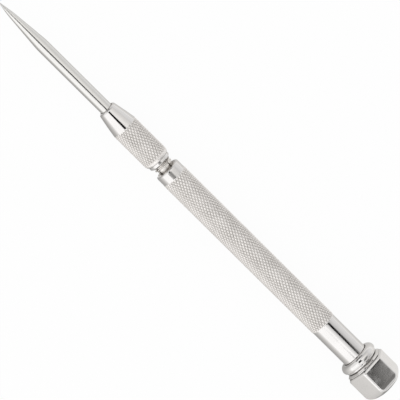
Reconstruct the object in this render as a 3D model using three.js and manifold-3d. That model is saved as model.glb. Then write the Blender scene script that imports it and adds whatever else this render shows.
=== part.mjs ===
import * as THREE from 'three';
import { mergeVertices } from 'three/addons/utils/BufferGeometryUtils.js';
import Module from 'manifold-3d';

const wasm = await Module();
wasm.setup();

// A pocket engraving pen with a hard steel point. The pen lies on one flat of its head: +X runs
// from the head to the tip, +Z is up, and the origin is under the middle of the pen.
// All sizes are in millimetres. A station is a distance along the pen from the end of the head.

// Head: a hexagon with a crowned end, a groove and a lip towards the barrel, and a spigot.
// The lip is round at the corners and flush with the flats, so that the head lies on a flat.
const headLength = 11.05;
const headAcrossFlats = 12;
const headEdgeRadius = 0.9;
const headCrownRadius = 20;
const headEndRounding = 2.8;
const headEdgeSoftening = 5;
const headFrontRounding = 1.1;
const headGrooveDepth = 0.35;
const headGrooveWidth = 0.12;
const headLipDiameter = 12.5;
const headLipLength = 0.6;
const headLipDrop = 0.8;
const headLipBevel = 0.15;
const headNeckDiameter = 9.2;
const headNeckLength = 0.35;
const spigotDiameter = 5;
const spigotLength = 13.5;
const spigotChamfer = 0.4;

// Collar: a round bead on a short hub, between head and barrel
const collarWidth = 2.65;
const collarHubDiameter = 10.9;
const collarBeadDiameter = 11.9;
const collarBeadHeight = 1.42;
const collarBeadStation = 1.25;
const collarBeadRearReach = 1.2;
const collarBeadFrontReach = 1.57;

// Barrel: a bored rod with a raised grip between two plain bands
const barrelLength = 78.5;
const barrelRearChamfer = 0.15;
const rearBandDiameter = 7.95;
const rearBandLength = 13.25;
const gripDiameter = 8.24;
const frontBandDiameter = 8;
const frontBandLength = 3;
const barrelFrontRounding = 0.6;
const barrelBoreDiameter = 4.5;
const drillTipAngle = 118;

// Split collet: a shank in the barrel, a threaded neck and four sprung jaws
const shankDiameter = 6;
const shankLength = 10;
const threadDiameter = 5.85;
const threadPitch = 1;
const threadDepth = 0.45;
const threadCrestWidth = 0.2;
const threadFlankAngle = 30;
const threadReliefLength = 0.3;
const slitWidth = 0.5;
const slitTurn = 23;
const slitDepthInBarrel = 1;
const jawReliefWall = 0.3;
const jawFrontWall = 0.23;
const jawLandLength = 1.5;
const closingAngle = 5;

// Ring behind the chuck nut
const neckGap = 2.4;
const ringDiameter = 7.14;
const ringWidth = 1.25;
const ringChamfer = 0.42;
const ringSleeveDiameter = 6.8;
const ringSleeveLength = 1.6;

// Chuck nut
const nutDiameter = 8.26;
const nutLength = 21.3;
const nutRearRounding = 1.35;
const nutThreadTurns = 5;
const nutBodyBoreDiameter = 5.5;
const noseLength = 7.4;
const noseFrontDiameter = 5.85;
const noseEdgeRadius = 0.85;
const noseStartSlope = 0.86;
const noseLand = 1.5;

// Point: a round rod ground to a long taper and a short tip cone
const pointDiameter = 4;
const pointLength = 70;
const pointReach = 44.7;
const taperLength = 19.2;
const taperBlendLength = 2.4;
const taperBlendDrop = 0.1;
const tipConeLength = 5;
const tipConeDiameter = 1.75;
const tipFlatDiameter = 0.1;
const pointRearChamfer = 0.3;
const pointHiddenDepth = 1.5;

// Clearances
const seatGap = 0.05;
const slideClearance = 0.05;
const threadClearance = 0.12;
const noseHoleClearance = 0.12;
const stopGap = 0.35;

// Facets round each turned piece, round the threads and bores, and along each rounded edge
const roundFacets = 48;
const boreFacets = 24;
const arcFacets = 5;

// Stations
const collarStation = headLength + seatGap;
const barrelStation = collarStation + collarWidth + seatGap;
const barrelFront = barrelStation + barrelLength;
const shankStation = barrelFront - shankLength;
const ringStation = barrelFront + neckGap;
const nutStation = ringStation + ringWidth + seatGap;
const noseFront = nutStation + nutLength;
const overallLength = noseFront + pointReach;
const pointStation = overallLength - pointLength;

// Radii that several pieces share
const pointRadius = pointDiameter / 2;
const colletBoreRadius = pointRadius + slideClearance;
const threadCrestRadius = threadDiameter / 2;
const threadRootRadius = threadCrestRadius - threadDepth;
const nutMinorRadius = threadRootRadius + threadClearance;
const nutMajorRadius = threadCrestRadius + threadClearance;
const noseHoleRadius = pointRadius + noseHoleClearance;
const jawReliefRadius = colletBoreRadius + jawReliefWall;
const jawFrontRadius = colletBoreRadius + jawFrontWall;
const jawLandRadius = nutMinorRadius - slideClearance;

// Thread of the neck, and the thread of the nut half a pitch out of step with it
const threadStation = barrelFront + threadReliefLength + threadPitch / 2;
const ringSleeveEnd = nutStation + ringSleeveLength;
const threadsBehindNut = Math.ceil((ringSleeveEnd - threadStation) / threadPitch + 0.5);
const nutThreadStation = threadStation + (threadsBehindNut + 0.5) * threadPitch;
const nutThreadEnd = nutThreadStation + nutThreadTurns * threadPitch;
const neckThreadTurns = (nutThreadEnd - threadStation) / threadPitch;

// Closing cone: the jaws and the nut share its angle
const closingSlope = Math.tan(THREE.MathUtils.degToRad(closingAngle));
const nutConeFront = noseFront - noseLand;
const nutConeRear = nutConeFront - (nutBodyBoreDiameter / 2 - noseHoleRadius) / closingSlope;
const jawFront = nutConeFront - (jawFrontRadius + slideClearance - noseHoleRadius) / closingSlope;
const jawConeRear = jawFront - (jawLandRadius - jawFrontRadius) / closingSlope;
const jawLandRear = jawConeRear - jawLandLength;

function arc(centreRadius, centreStation, radiusOut, radiusAlong, from, to, steps = arcFacets) {
  const points = [];
  for (let i = 0; i <= steps; i += 1) {
    const angle = THREE.MathUtils.degToRad(from + ((to - from) * i) / steps);
    points.push([
      centreRadius + radiusOut * Math.cos(angle),
      centreStation + radiusAlong * Math.sin(angle),
    ]);
  }
  return points;
}

// A closed mesh with shared vertices and no collapsed triangles
function closedMesh(geometry) {
  geometry.deleteAttribute('normal');
  geometry.deleteAttribute('uv');
  const merged = mergeVertices(geometry, 1e-4);
  const corners = merged.index.array;
  const kept = [];
  for (let i = 0; i < corners.length; i += 3) {
    const [a, b, c] = corners.slice(i, i + 3);
    if (a !== b && b !== c && c !== a) {
      kept.push(a, b, c);
    }
  }
  merged.setIndex(kept);
  merged.computeVertexNormals();
  return merged;
}

// Turned piece: points are [radius, place along the axis], outer side first, axis along +Y
function turned(profile, facets = roundFacets) {
  const points = profile.map(([radius, along]) => new THREE.Vector2(radius, along));
  return closedMesh(new THREE.LatheGeometry(points, facets));
}

function turnedRing(profile, facets = roundFacets) {
  return turned([...profile, profile[0]], facets);
}

function toSolid(geometry) {
  const mesh = new wasm.Mesh({
    numProp: 3,
    vertProperties: new Float32Array(geometry.getAttribute('position').array),
    triVerts: new Uint32Array(geometry.index.array),
  });
  return new wasm.Manifold(mesh);
}

function toGeometry(solid) {
  const mesh = solid.getMesh();
  const geometry = new THREE.BufferGeometry();
  geometry.setAttribute('position', new THREE.BufferAttribute(mesh.vertProperties, 3));
  geometry.setIndex(new THREE.BufferAttribute(mesh.triVerts, 1));
  geometry.computeVertexNormals();
  return geometry;
}

// Right-handed thread ridge round +Y, which runs out to nothing over its first and last quarter turn.
// The base sinks into the wall that carries it; footRadius is that wall, and edgeRadius the ridge's edge.
function threadRidge({ footRadius, edgeRadius, edgeWidth, start, turns, sink }) {
  const flank = Math.abs(edgeRadius - footRadius) * Math.tan(THREE.MathUtils.degToRad(threadFlankAngle));
  const outward = Math.sign(edgeRadius - footRadius);
  const steps = Math.round(turns * boreFacets);
  const runOut = boreFacets / 4;
  const positions = [];
  for (let i = 0; i <= steps; i += 1) {
    const angle = (i / boreFacets) * 2 * Math.PI;
    const along = start + (i / boreFacets) * threadPitch;
    const height = Math.min(1, i / runOut, (steps - i) / runOut);
    const sunkFoot = footRadius - (outward * sink) / 2;
    const edge = sunkFoot + (edgeRadius - sunkFoot) * height;
    const halfEdge = edgeWidth / 2 + flank * (1 - height);
    const halfBase = edgeWidth / 2 + flank;
    const section = [
      [footRadius - outward * sink, along - halfBase],
      [edge, along - halfEdge],
      [edge, along + halfEdge],
      [footRadius - outward * sink, along + halfBase],
    ];
    for (const [radius, place] of section) {
      positions.push(radius * Math.sin(angle), place, radius * Math.cos(angle));
    }
  }
  const index = [];
  const quad = (a, b, c, d) => {
    if (outward > 0) {
      index.push(a, b, c, a, c, d);
    } else {
      index.push(a, c, b, a, d, c);
    }
  };
  for (let i = 0; i < steps; i += 1) {
    for (let side = 0; side < 4; side += 1) {
      const next = (side + 1) % 4;
      quad(i * 4 + side, (i + 1) * 4 + side, (i + 1) * 4 + next, i * 4 + next);
    }
  }
  const last = steps * 4;
  quad(0, 1, 2, 3);
  quad(last + 3, last + 2, last + 1, last);
  const geometry = new THREE.BufferGeometry();
  geometry.setAttribute('position', new THREE.Float32BufferAttribute(positions, 3));
  geometry.setIndex(index);
  return geometry;
}

// Directions round a hexagon's outline: along each flat, then over the rounded edge after it
function hexagonAngles() {
  const half = headAcrossFlats / 2;
  const flatLean = Math.atan(((half - headEdgeRadius) * Math.tan(Math.PI / 6)) / half);
  const lipLean = Math.acos(headAcrossFlats / headLipDiameter);
  const angles = [];
  for (let side = 0; side < 6; side += 1) {
    const middle = (side * Math.PI) / 3;
    for (const lean of [-lipLean, 0, lipLean]) {
      angles.push(middle + lean);
    }
    for (let i = 0; i <= arcFacets; i += 1) {
      angles.push(middle + flatLean + ((Math.PI / 3 - 2 * flatLean) * i) / arcFacets);
    }
  }
  return angles;
}

// Distance from the axis to the outline, whose edges get rounder as the hexagon gets smaller
function hexagonRadius(angle, half) {
  const fullHalf = headAcrossFlats / 2;
  const edge = half - (fullHalf - headEdgeRadius) * (half / fullHalf) ** headEdgeSoftening;
  const sixth = Math.PI / 3;
  const lean = Math.abs(angle - sixth * Math.round(angle / sixth));
  const straight = Math.atan(((half - edge) * Math.tan(sixth / 2)) / half);
  if (lean <= straight) {
    return half / Math.cos(lean);
  }
  const centre = (half - edge) / Math.cos(sixth / 2);
  const fromCorner = sixth / 2 - lean;
  return centre * Math.cos(fromCorner) + Math.sqrt(edge ** 2 - (centre * Math.sin(fromCorner)) ** 2);
}

// Each row is [place along the axis, half the hexagon's width, radius that it is turned down to]
function makeHead() {
  const half = headAcrossFlats / 2;
  const roundingCentre = half - headEndRounding;
  const crownArm = headCrownRadius - headEndRounding;
  const roundingStation = headCrownRadius - Math.sqrt(crownArm ** 2 - roundingCentre ** 2);
  const crownEdge = THREE.MathUtils.radToDeg(Math.asin(roundingCentre / crownArm));
  const end = [
    ...arc(0, headCrownRadius, headCrownRadius, headCrownRadius, -90, crownEdge - 90, 3),
    ...arc(roundingCentre, roundingStation, headEndRounding, headEndRounding, crownEdge - 90, 0).slice(1),
  ];
  const frontDrop = Math.acos(1 - headGrooveDepth / headFrontRounding);
  const frontReach = headFrontRounding * Math.sin(frontDrop);
  const lipFront = headLength - headNeckLength;
  const lipRear = lipFront - headLipLength;
  const grooveFront = lipRear - headLipBevel;
  const frontStart = grooveFront - headGrooveWidth - frontReach;
  const front = arc(
    half - headFrontRounding,
    frontStart,
    headFrontRounding,
    headFrontRounding,
    0,
    THREE.MathUtils.radToDeg(frontDrop),
    3,
  );
  const lipRadius = headLipDiameter / 2;
  const grooveHalf = half - headGrooveDepth;
  const grooveRadius = lipRadius - headGrooveDepth;
  const neckRadius = headNeckDiameter / 2;
  const spigotRadius = spigotDiameter / 2;
  const rows = [
    ...end.map(([width, along]) => [along, width, Infinity]),
    ...front.map(([width, along]) => [along, width, Infinity]),
    [grooveFront - headGrooveWidth, grooveHalf, grooveRadius],
    [grooveFront, grooveHalf, grooveRadius],
    [lipRear, half, lipRadius],
    [lipFront, half - headLipDrop, lipRadius - headLipDrop],
    [lipFront, neckRadius, neckRadius],
    [headLength, neckRadius, neckRadius],
    [headLength, half, spigotRadius],
    [headLength + spigotLength - spigotChamfer, half, spigotRadius],
    [headLength + spigotLength, half, spigotRadius - spigotChamfer],
    [headLength + spigotLength, half, 0],
  ];
  const angles = hexagonAngles();
  const positions = [];
  const index = [];
  for (const [along, width, turnedRadius] of rows) {
    for (const angle of angles) {
      const radius = width > 0 ? Math.min(hexagonRadius(angle, width), turnedRadius) : 0;
      positions.push(radius * Math.sin(angle), along, radius * Math.cos(angle));
    }
  }
  for (let row = 0; row < rows.length - 1; row += 1) {
    for (let column = 0; column < angles.length; column += 1) {
      const next = (column + 1) % angles.length;
      const a = row * angles.length + column;
      const b = row * angles.length + next;
      index.push(a, b, b + angles.length, a, b + angles.length, a + angles.length);
    }
  }
  const geometry = new THREE.BufferGeometry();
  geometry.setAttribute('position', new THREE.Float32BufferAttribute(positions, 3));
  geometry.setIndex(index);
  return closedMesh(geometry);
}

// The bead is widest at its station, and curls under a little at the barrel
function makeCollar() {
  const bore = spigotDiameter / 2 + slideClearance;
  const hubRadius = collarHubDiameter / 2;
  const centre = collarBeadDiameter / 2 - collarBeadHeight;
  const frontShare = (collarWidth - collarBeadStation) / collarBeadFrontReach;
  const rearAngle = THREE.MathUtils.radToDeg(Math.acos((hubRadius - centre) / collarBeadHeight));
  const frontAngle = 180 - THREE.MathUtils.radToDeg(Math.asin(frontShare));
  const bead = (reach, from, to, steps) => (
    arc(centre, collarBeadStation, collarBeadHeight, reach, from, to, steps)
  );
  return turnedRing([
    [bore, 0],
    [hubRadius, 0],
    ...bead(collarBeadRearReach, -rearAngle, 0, arcFacets),
    ...bead(collarBeadFrontReach, 0, frontAngle, 2 * arcFacets).slice(1),
    [bore, collarWidth],
  ]);
}

function makeBarrel() {
  const spigotBore = spigotDiameter / 2 + slideClearance;
  const shankBore = shankDiameter / 2 + slideClearance;
  const bore = barrelBoreDiameter / 2;
  const rearRadius = rearBandDiameter / 2;
  const gripRadius = gripDiameter / 2;
  const frontRadius = frontBandDiameter / 2;
  const spigotHole = collarStation - headLength + collarWidth;
  const spigotHoleEnd = spigotLength - spigotHole + stopGap;
  const boreEnd = pointStation - (pointReach + pointHiddenDepth) - stopGap - barrelStation;
  const drillTip = bore / Math.tan(THREE.MathUtils.degToRad(drillTipAngle / 2));
  const gripEnd = barrelLength - frontBandLength;
  return turned([
    [0, spigotHoleEnd],
    [spigotBore, spigotHoleEnd],
    [spigotBore, 0],
    [rearRadius - barrelRearChamfer, 0],
    [rearRadius, barrelRearChamfer],
    [rearRadius, rearBandLength],
    [gripRadius, rearBandLength + gripRadius - rearRadius],
    [gripRadius, gripEnd - (gripRadius - frontRadius)],
    [frontRadius, gripEnd],
    ...arc(
      frontRadius - barrelFrontRounding,
      barrelLength - barrelFrontRounding,
      barrelFrontRounding,
      barrelFrontRounding,
      0,
      90,
    ),
    [shankBore, barrelLength],
    [shankBore, barrelLength - shankLength - seatGap],
    [bore, barrelLength - shankLength - seatGap],
    [bore, boreEnd],
    [0, boreEnd - drillTip],
  ]);
}

// Collet places are measured from the rear end of its shank
function makeCollet() {
  const from = (station) => station - shankStation;
  const body = turnedRing([
    [colletBoreRadius, 0],
    [shankDiameter / 2, 0],
    [shankDiameter / 2, shankLength - seatGap],
    [threadRootRadius, shankLength - seatGap],
    [threadRootRadius, from(nutThreadEnd) + threadPitch / 2],
    [jawReliefRadius, from(nutThreadEnd) + threadPitch / 2 + threadRootRadius - jawReliefRadius],
    [jawReliefRadius, from(jawLandRear) - (jawLandRadius - jawReliefRadius)],
    [jawLandRadius, from(jawLandRear)],
    [jawLandRadius, from(jawConeRear)],
    [jawFrontRadius, from(jawFront)],
    [colletBoreRadius, from(jawFront)],
  ], boreFacets);
  const ridge = threadRidge({
    footRadius: threadRootRadius,
    edgeRadius: threadCrestRadius,
    edgeWidth: threadCrestWidth,
    start: from(threadStation),
    turns: neckThreadTurns,
    sink: (threadRootRadius - colletBoreRadius) / 2,
  });
  let collet = toSolid(body).add(toSolid(ridge));
  const slitStart = shankLength - slitDepthInBarrel;
  const slitLength = from(jawFront) - slitStart;
  for (const turn of [slitTurn, slitTurn + 90]) {
    const slit = new THREE.BoxGeometry(slitWidth, slitLength * 2, shankDiameter * 2);
    slit.rotateY(THREE.MathUtils.degToRad(turn));
    slit.translate(0, slitStart + slitLength, 0);
    collet = collet.subtract(toSolid(closedMesh(slit)));
  }
  return toGeometry(collet);
}

function makeRing() {
  const lipRadius = ringDiameter / 2;
  const sleeveRadius = ringSleeveDiameter / 2;
  return turnedRing([
    [nutMajorRadius, 0],
    [lipRadius - ringChamfer, 0],
    [lipRadius, ringChamfer],
    [lipRadius, ringWidth],
    [sleeveRadius, ringWidth],
    [sleeveRadius, ringWidth + ringSleeveLength],
    [nutMajorRadius, ringWidth + ringSleeveLength],
  ]);
}

// Nut places are measured from its rear face
function makeNut() {
  const from = (station) => station - nutStation;
  const outer = nutDiameter / 2;
  const rearRadius = ringDiameter / 2;
  const noseStart = nutLength - noseLength;
  const noseEnd = nutLength - noseEdgeRadius;
  const noseEdge = noseFrontDiameter / 2;
  const noseSteps = arcFacets + 2;
  const nose = [];
  for (let i = 1; i < noseSteps; i += 1) {
    const part = i / noseSteps;
    const drop = noseStartSlope * part + (1 - noseStartSlope) * part * part;
    nose.push([outer - (outer - noseEdge) * drop, noseStart + (noseEnd - noseStart) * part]);
  }
  const sleeveBore = ringSleeveDiameter / 2 + slideClearance;
  const sleeveBoreEnd = ringSleeveLength + seatGap;
  const bodyBore = nutBodyBoreDiameter / 2;
  const blank = turned([
    [0, 0],
    ...arc(rearRadius, nutRearRounding, outer - rearRadius, nutRearRounding, -90, 0),
    [outer, noseStart],
    ...nose,
    ...arc(noseEdge - noseEdgeRadius, noseEnd, noseEdgeRadius, noseEdgeRadius, 0, 90),
    [0, nutLength],
  ]);
  const boreOvershoot = 1;
  const bore = turned([
    [0, -boreOvershoot],
    [sleeveBore, -boreOvershoot],
    [sleeveBore, sleeveBoreEnd],
    [nutMajorRadius, sleeveBoreEnd],
    [nutMajorRadius, from(nutThreadEnd) + threadPitch],
    [bodyBore, from(nutThreadEnd) + threadPitch],
    [bodyBore, from(nutConeRear)],
    [noseHoleRadius, from(nutConeFront)],
    [noseHoleRadius, nutLength + boreOvershoot],
    [0, nutLength + boreOvershoot],
  ], boreFacets);
  const shell = toSolid(blank).subtract(toSolid(bore));
  const flankSlope = Math.tan(THREE.MathUtils.degToRad(threadFlankAngle));
  const neckFoot = threadCrestWidth + 2 * threadDepth * flankSlope;
  const grooveWidth = threadPitch - neckFoot + 2 * threadClearance * flankSlope;
  const ridge = threadRidge({
    footRadius: nutMajorRadius,
    edgeRadius: nutMinorRadius,
    edgeWidth: grooveWidth - 2 * threadClearance,
    start: from(nutThreadStation),
    turns: nutThreadTurns,
    sink: threadClearance,
  });
  return toGeometry(shell.add(toSolid(ridge)));
}

function makePoint() {
  const coneRadius = tipConeDiameter / 2;
  const taperStart = pointLength - taperLength;
  const blendSteps = arcFacets;
  const blend = [];
  for (let i = 1; i <= blendSteps; i += 1) {
    const part = i / blendSteps;
    blend.push([pointRadius - taperBlendDrop * part * part, taperStart + taperBlendLength * part]);
  }
  return turned([
    [0, 0],
    [pointRadius - pointRearChamfer, 0],
    [pointRadius, pointRearChamfer],
    [pointRadius, taperStart],
    ...blend,
    [coneRadius, pointLength - tipConeLength],
    [tipFlatDiameter / 2, pointLength],
    [0, pointLength],
  ]);
}

function finish(colour, roughness) {
  return new THREE.MeshStandardMaterial({ color: colour, roughness, metalness: 1 });
}

function piece(name, geometry, station, material) {
  const mesh = new THREE.Mesh(geometry, material);
  mesh.name = name;
  mesh.position.y = station;
  return mesh;
}

// The pieces stand along +Y in this group, which lays them down along +X
const pen = new THREE.Group();
pen.add(piece('hex_head', makeHead(), 0, finish(0xd2d3d0, 0.12)));
pen.add(piece('collar_ring', makeCollar(), collarStation, finish(0xd2d3d0, 0.12)));
pen.add(piece('barrel', makeBarrel(), barrelStation, finish(0xcfcfca, 0.18)));
pen.add(piece('split_collet', makeCollet(), shankStation, finish(0xbdbcb4, 0.25)));
pen.add(piece('chuck_ring', makeRing(), ringStation, finish(0xcfcfca, 0.15)));
pen.add(piece('chuck_nut', makeNut(), nutStation, finish(0xcfcfca, 0.18)));
pen.add(piece('scriber_point', makePoint(), pointStation, finish(0xc4c6c8, 0.16)));
pen.rotation.z = -Math.PI / 2;
pen.position.set(-overallLength / 2, 0, headAcrossFlats / 2);

const engravingPen = new THREE.Group();
engravingPen.add(pen);

export default engravingPen;
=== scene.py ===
import math

import bpy
import numpy as np
from mathutils import Matrix, Vector


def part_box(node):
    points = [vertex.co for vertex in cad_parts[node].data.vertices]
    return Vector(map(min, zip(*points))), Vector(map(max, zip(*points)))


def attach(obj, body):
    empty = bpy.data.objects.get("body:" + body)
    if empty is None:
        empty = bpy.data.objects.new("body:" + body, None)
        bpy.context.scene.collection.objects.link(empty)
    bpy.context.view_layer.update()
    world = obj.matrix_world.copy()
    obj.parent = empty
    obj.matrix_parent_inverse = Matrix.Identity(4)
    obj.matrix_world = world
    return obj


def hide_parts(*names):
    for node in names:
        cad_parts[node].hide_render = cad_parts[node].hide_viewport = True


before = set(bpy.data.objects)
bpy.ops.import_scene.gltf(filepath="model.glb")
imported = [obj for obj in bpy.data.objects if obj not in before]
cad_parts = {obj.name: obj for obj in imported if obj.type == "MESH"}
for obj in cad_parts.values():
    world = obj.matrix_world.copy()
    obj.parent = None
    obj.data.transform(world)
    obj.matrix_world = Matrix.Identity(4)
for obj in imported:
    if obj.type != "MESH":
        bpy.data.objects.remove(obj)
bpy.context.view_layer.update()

scene = bpy.context.scene
scene.view_settings.view_transform = "Standard"

mm = 0.001
slack = 0.01  # in millimetres, for finding rows by their place
fullTurn = 2 * math.pi
headLow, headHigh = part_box("hex_head")
axisHeight = (headLow.z + headHigh.z) / 2
print("frame loaded, the pen's axis is", round(axisHeight / mm, 2), "mm up")


# shader building

class Wire:
    # one socket that can be used in sums
    def __init__(self, tree, socket):
        self.tree = tree
        self.socket = socket

    def sum(self, operation, *values):
        node = self.tree.nodes.new("ShaderNodeMath")
        node.operation = operation
        for slot, value in zip(node.inputs, values):
            if isinstance(value, Wire):
                self.tree.links.new(value.socket, slot)
            else:
                slot.default_value = value
        return Wire(self.tree, node.outputs[0])

    def __add__(self, other):
        return self.sum("ADD", self, other)

    def __radd__(self, other):
        return self.sum("ADD", other, self)

    def __sub__(self, other):
        return self.sum("SUBTRACT", self, other)

    def __rsub__(self, other):
        return self.sum("SUBTRACT", other, self)

    def __mul__(self, other):
        return self.sum("MULTIPLY", self, other)

    def __rmul__(self, other):
        return self.sum("MULTIPLY", other, self)

    def __truediv__(self, other):
        return self.sum("DIVIDE", self, other)

    def __rtruediv__(self, other):
        return self.sum("DIVIDE", other, self)

    def between(self, low, high, softness=0.05):
        # 0 below low, 1 above high
        capped = self.sum("SMOOTH_MIN", (self - low) / (high - low), 1, softness)
        return self.sum("SMOOTH_MAX", capped, 0, softness)


class Recipe:
    # a material or world being built
    def __init__(self, owner):
        owner.use_nodes = True
        self.owner = owner
        self.tree = owner.node_tree
        self.tree.nodes.clear()

    def node(self, kind, settings=None, inputs=None, output=0):
        node = self.tree.nodes.new(kind)
        for key, value in (settings or {}).items():
            if key == "stops":
                while len(node.color_ramp.elements) < len(value):
                    node.color_ramp.elements.new(1)
                for stop, (place, grey) in zip(node.color_ramp.elements, value):
                    stop.position = place
                    stop.color = (grey, grey, grey, 1)
            else:
                setattr(node, key, value)
        for key, value in (inputs or {}).items():
            if isinstance(value, Wire):
                self.tree.links.new(value.socket, node.inputs[key])
            else:
                node.inputs[key].default_value = value
        return Wire(self.tree, node.outputs[output]) if len(node.outputs) else None

    def attribute(self, name, output="Fac"):
        return self.node("ShaderNodeAttribute", {"attribute_name": name}, output=output)

    def blend(self, share, first, second):
        # two colours, share of the second
        first = first if isinstance(first, Wire) else (*first, 1)
        settings = {"data_type": "RGBA", "clamp_factor": True}
        return self.node("ShaderNodeMix", settings, {0: share, 6: first, 7: (*second, 1)}, 2)

    def times(self, vector, factors):
        return self.node("ShaderNodeVectorMath", {"operation": "MULTIPLY"}, {0: vector, 1: factors})

    def place(self, along=1, around=1):
        # the piece's own place in millimetres, stretched along the pen and round it
        here = self.node("ShaderNodeTexCoord", output="Object")
        return self.times(here, (along / mm, around / mm, around / mm))

    def noise(self, place, scale, detail, roughness):
        inputs = {"Vector": place, "Scale": scale, "Detail": detail, "Roughness": roughness}
        return self.node("ShaderNodeTexNoise", inputs=inputs)

    def spots(self, scale, detail, roughness, low, high):
        # noise that starts at low and is full at high
        return self.noise(self.place(), scale, detail, roughness).between(low, high)

    def lines(self, along, around, detail, roughness):
        # noise that is drawn out, close together along the pen or round it
        return self.noise(self.place(along, around), 1.0, detail, roughness)

    def finish(self, surface, kind="ShaderNodeOutputMaterial"):
        self.node(kind, inputs={"Surface": surface})

    def finishMetal(self, colour, roughness, height, values):
        relief = self.node("ShaderNodeBump", inputs={
            "Strength": values["reliefStrength"], "Distance": values["reliefDepth"], "Height": height,
        })
        self.finish(self.node(
            "ShaderNodeBsdfPrincipled",
            inputs={"Base Color": colour, "Metallic": 1.0, "Roughness": roughness, "Normal": relief},
        ))
        return self.owner

    def finishGlow(self, colour):
        self.finish(self.node("ShaderNodeEmission", inputs={"Color": colour, "Strength": 1.0}))


def startMaterial(name):
    return Recipe(bpy.data.materials.new(name))


# finishes: spots are (scale for a millimetre, detail, roughness, low, high), lines are (how close
# along the pen, how close round it, detail, roughness), and relief depths are in metres

polishedPlateValues = {
    "bright": (0.805, 0.789, 0.777),
    "worn": (0.70, 0.685, 0.67),
    "recessShade": (0.12, 0.11, 0.10),
    "patches": (0.35, 4, 0.6, 0.42, 0.66),
    "specks": (5.5, 2, 0.7, 0.62, 0.72),
    "turning": (14, 0.35, 2, 0.6),
    "patchWear": 0.35,
    "speckWear": 0.25,
    "recessShadeCover": 0.8,
    "recessShadeInTurning": 0.3,
    "roughness": 0.05,
    "patchRoughness": 0.10,
    "turningRoughness": 0.03,
    "speckRoughness": 0.08,
    "recessRoughness": 0.45,
    "reliefStrength": 0.35,
    "reliefDepth": 0.0000012,
}


def makePolishedPlate():
    # painted shade sits where the attribute "recess" is 1
    values = polishedPlateValues
    shader = startMaterial("polishedPlate")
    recess = shader.attribute("recess")
    patches = shader.spots(*values["patches"])
    turning = shader.lines(*values["turning"])
    specks = shader.spots(*values["specks"])
    wear = patches * values["patchWear"] + specks * values["speckWear"]
    # painted shade: the recesses are darkened, more along the turning marks
    recessShade = recess * (values["recessShadeCover"] + turning * values["recessShadeInTurning"])
    colour = shader.blend(wear, values["bright"], values["worn"])
    colour = shader.blend(recessShade, colour, values["recessShade"])
    roughness = (
        values["roughness"] + patches * values["patchRoughness"] + turning * values["turningRoughness"]
        + specks * values["speckRoughness"] + recess * values["recessRoughness"]
    )
    return shader.finishMetal(colour, roughness, turning, values)


knurledPlateValues = {
    "bright": (0.79, 0.774, 0.762),  # on the plain bands
    "satin": (0.945, 0.915, 0.89),  # over the knurl
    "shadeAndTarnish": (0.36, 0.342, 0.318),  # painted shade down in its grooves, and patchy tarnish
    "recessShade": (0.42, 0.395, 0.37),
    "mottle": (0.9, 4, 0.65),  # scale for a millimetre, detail, roughness
    "patches": (0.22, 3, 0.55, 0.4, 0.65),
    "turning": (14, 0.35, 2, 0.6),
    "knurlShadeDepth": (0.45, 0.95),  # shares of a groove's depth where the painted shade starts and is full
    "knurlShadeCover": 0.62,
    "knurlShadeInMottle": 0.16,
    "knurlShadeInPatches": 0.1,
    "tarnishOverall": 0.05,  # tarnish in patches, on crests and bands too
    "recessShadeCover": 0.75,
    "recessShadeInMottle": 0.4,
    "bandRoughness": 0.06,
    "crestRoughness": 0.48,
    "grooveRoughness": 0.50,
    "patchRoughness": 0.05,
    "turningRoughness": 0.03,
    "recessRoughness": 0.4,
    "reliefStrength": 0.3,
    "reliefDepth": 0.000002,
}


def makeKnurledPlate():
    # the attribute "knurled" is 1 over the knurl, "grooveDepth" is 1 at the bottom of its grooves,
    # and painted shade sits where "recess" is 1
    values = knurledPlateValues
    shader = startMaterial("knurledPlate")
    depth = shader.attribute("grooveDepth")
    knurled = shader.attribute("knurled")
    recess = shader.attribute("recess")
    mottle = shader.noise(shader.place(), *values["mottle"])
    patches = shader.spots(*values["patches"])
    turning = shader.lines(*values["turning"])
    # painted shade down in the knurl's grooves, with patchy tarnish on top
    cover = values["knurlShadeCover"] + mottle * values["knurlShadeInMottle"] + patches * values["knurlShadeInPatches"]
    shadeAndTarnish = depth.between(*values["knurlShadeDepth"]) * cover + patches * values["tarnishOverall"]
    # painted shade in the recesses
    recessShade = recess * (values["recessShadeCover"] + mottle * values["recessShadeInMottle"])
    colour = shader.blend(knurled, values["bright"], values["satin"])
    colour = shader.blend(shadeAndTarnish, colour, values["shadeAndTarnish"])
    colour = shader.blend(recessShade, colour, values["recessShade"])
    roughness = recess * values["recessRoughness"] + (
        values["bandRoughness"] + patches * values["patchRoughness"] + turning * values["turningRoughness"]
        + knurled * (values["crestRoughness"] - values["bandRoughness"])
        + depth * (values["grooveRoughness"] - values["crestRoughness"])
    )
    return shader.finishMetal(colour, roughness, turning + knurled * mottle, values)


turnedSteelValues = {
    "clean": (0.88, 0.855, 0.825),
    "oiled": (0.72, 0.685, 0.635),
    "recessShade": (0.20, 0.175, 0.15),
    "oil": (0.8, 4, 0.6, 0.42, 0.7),
    "toolMarks": (22, 0.25, 1, 0.5),
    "oilCover": 0.7,
    "recessShadeCover": 0.6,
    "recessShadeInOil": 0.3,
    "roughness": 0.38,
    "toolMarkRoughness": 0.1,
    "oilRoughness": 0.12,
    "reliefStrength": 0.6,
    "reliefDepth": 0.000006,
}


def makeTurnedSteel():
    # painted shade sits where the attribute "recess" is 1
    values = turnedSteelValues
    shader = startMaterial("turnedSteel")
    recess = shader.attribute("recess")
    oil = shader.spots(*values["oil"])
    toolMarks = shader.lines(*values["toolMarks"])
    # painted shade in the corner in front of the barrel
    recessShade = recess * (values["recessShadeCover"] + oil * values["recessShadeInOil"])
    colour = shader.blend(oil * values["oilCover"], values["clean"], values["oiled"])
    colour = shader.blend(recessShade, colour, values["recessShade"])
    roughness = values["roughness"] + toolMarks * values["toolMarkRoughness"] + oil * values["oilRoughness"]
    return shader.finishMetal(colour, roughness, toolMarks, values)


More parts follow.
